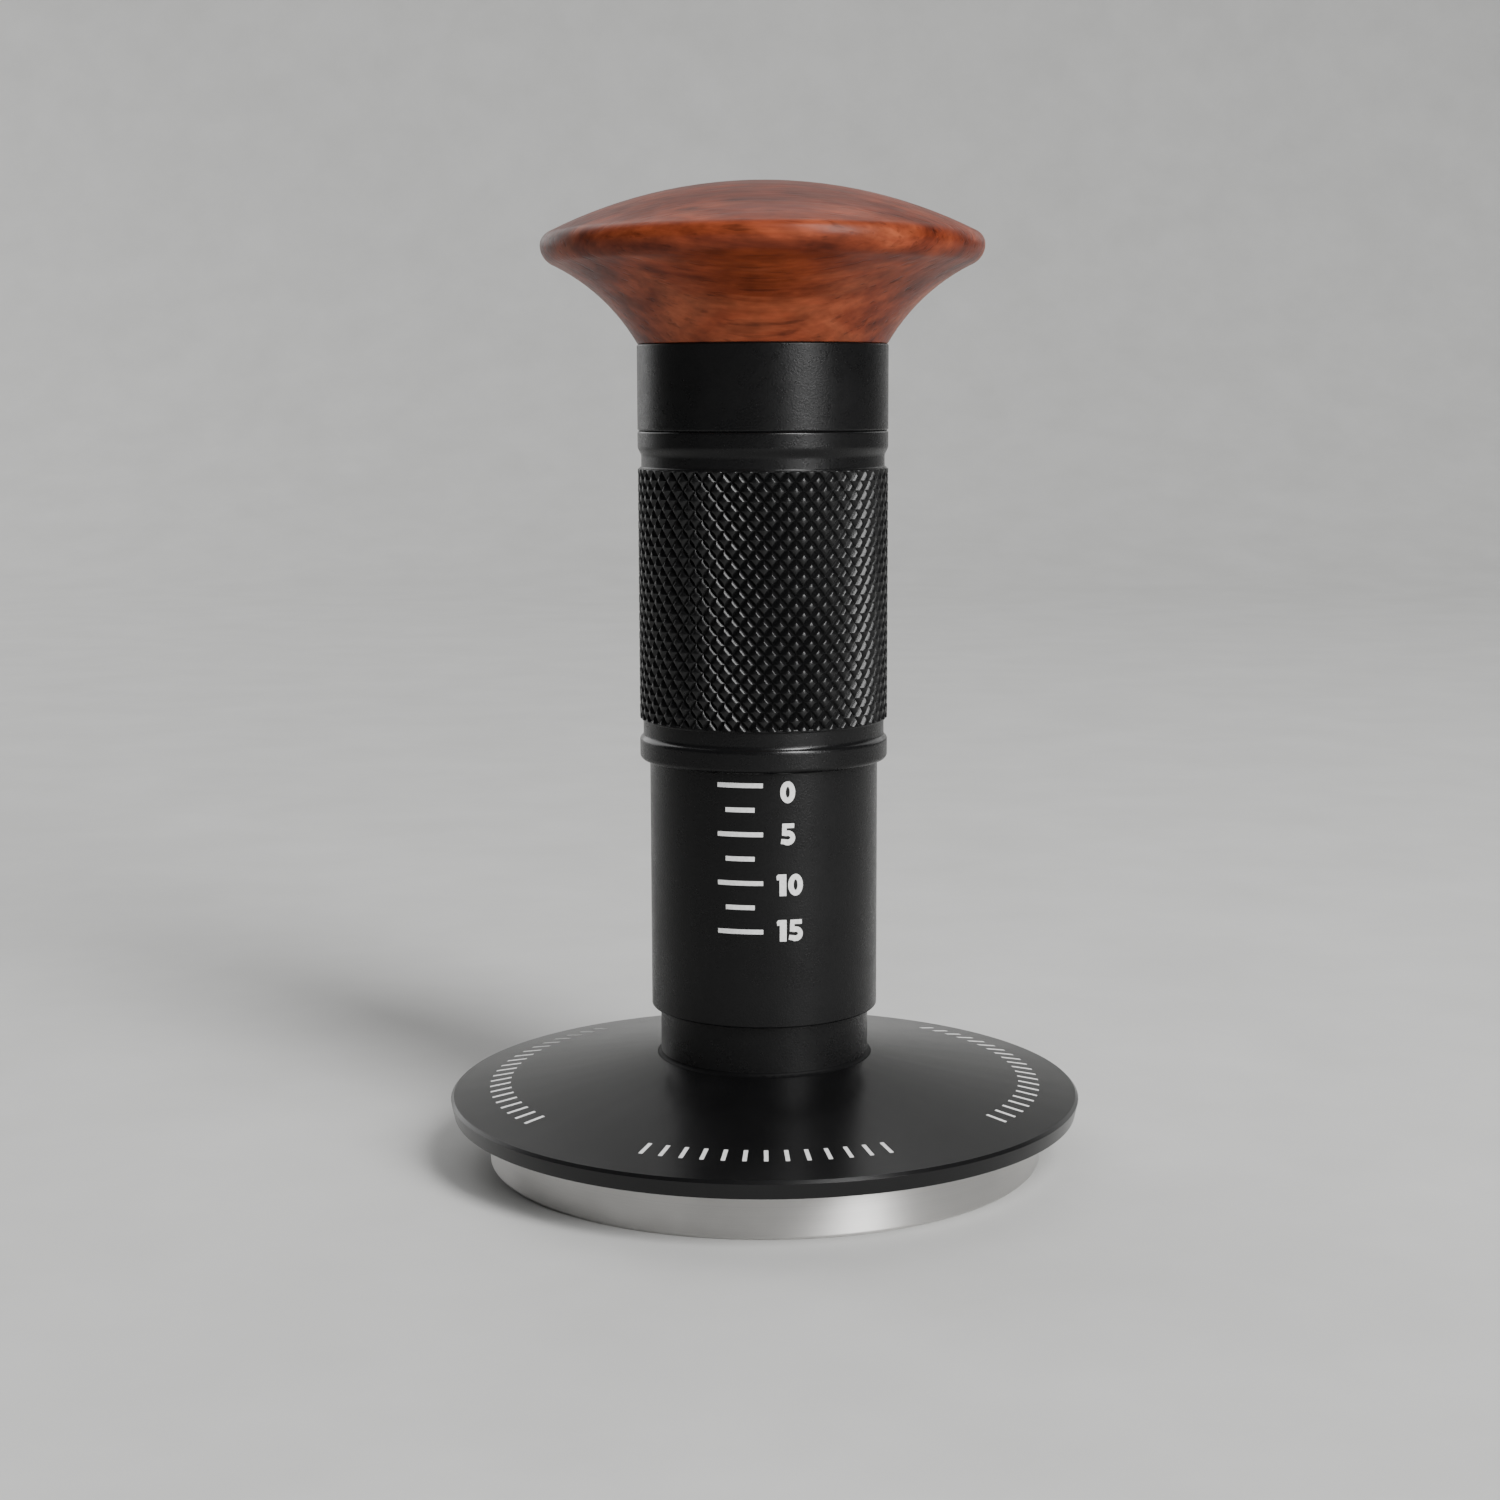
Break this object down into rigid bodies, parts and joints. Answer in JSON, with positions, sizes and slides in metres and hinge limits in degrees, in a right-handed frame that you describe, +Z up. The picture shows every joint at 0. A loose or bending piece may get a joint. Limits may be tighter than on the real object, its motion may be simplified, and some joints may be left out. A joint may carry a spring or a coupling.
{
  "type": "espresso tamper",
  "caption": "Turned espresso tamper: steel tamping disc, coned levelling flange, scale barrel, sprung knurled grip and domed wooden knob.",
  "frame": {"origin": "centre of the tamping face, at the bottom of the steel base", "axes": "+Z up along the turning axis towards the knob; -Y is the side that carries the depth scale"},
  "size_m": [0.0666, 0.0666, 0.1019],
  "materials": {
    "turned_steel": "satin turned stainless steel",
    "screw_steel": "plain steel fasteners",
    "spring_steel": "drawn spring wire",
    "black_flange": "semi-gloss black anodised",
    "black_anodised": "bead-blasted black anodised",
    "bearing_plastic": "natural acetal",
    "rubber": "matt black rubber",
    "brass": "turned brass",
    "hardwood": "satin oiled reddish-brown hardwood"
  },
  "bodies": {
    "plunger": {"tamper_base": "turned_steel", "plunger_rod": "turned_steel", "plunger_head": "turned_steel", "head_screw": "screw_steel", "return_spring_seat": "screw_steel", "retaining_ring": "screw_steel", "bumper_ring": "rubber", "return_spring": "spring_steel", "force_spring": "spring_steel"},
    "leveller_bearing": {"barrel_bush": "bearing_plastic"},
    "leveller": {"levelling_flange": "black_flange", "flange_screws": "screw_steel", "scale_barrel": "black_anodised", "barrel_guide_ring": "bearing_plastic"},
    "grip_bearing": {"housing_bush": "bearing_plastic"},
    "grip": {"knurled_sleeve": "black_anodised", "spring_housing": "black_anodised", "upper_spring_seat": "turned_steel", "preload_plug": "brass", "top_collar": "black_anodised", "collar_o_ring": "rubber", "knob_stud": "screw_steel", "knob_insert": "brass", "wood_knob": "hardwood"}
  },
  "joints": [
    {"name": "leveller_slide", "type": "slide", "parent": "plunger", "child": "leveller_bearing", "axis": [0, 0, 1], "range_m": [0, 0.015], "stiffness_N_per_m": 335, "springref_m": -0.015, "deforming": ["return_spring"]},
    {"name": "leveller_spin", "type": "hinge", "parent": "leveller_bearing", "child": "leveller", "pos_m": [0, 0, 0.015], "axis": [0, 0, 1], "continuous": true},
    {"name": "grip_slide", "type": "slide", "parent": "plunger", "child": "grip_bearing", "axis": [0, 0, 1], "range_m": [-0.006, 0], "stiffness_N_per_m": 7500, "springref_m": 0.0115, "deforming": ["force_spring"]},
    {"name": "grip_spin", "type": "hinge", "parent": "grip_bearing", "child": "grip", "pos_m": [0, 0, 0.055], "axis": [0, 0, 1], "continuous": true}
  ]
}
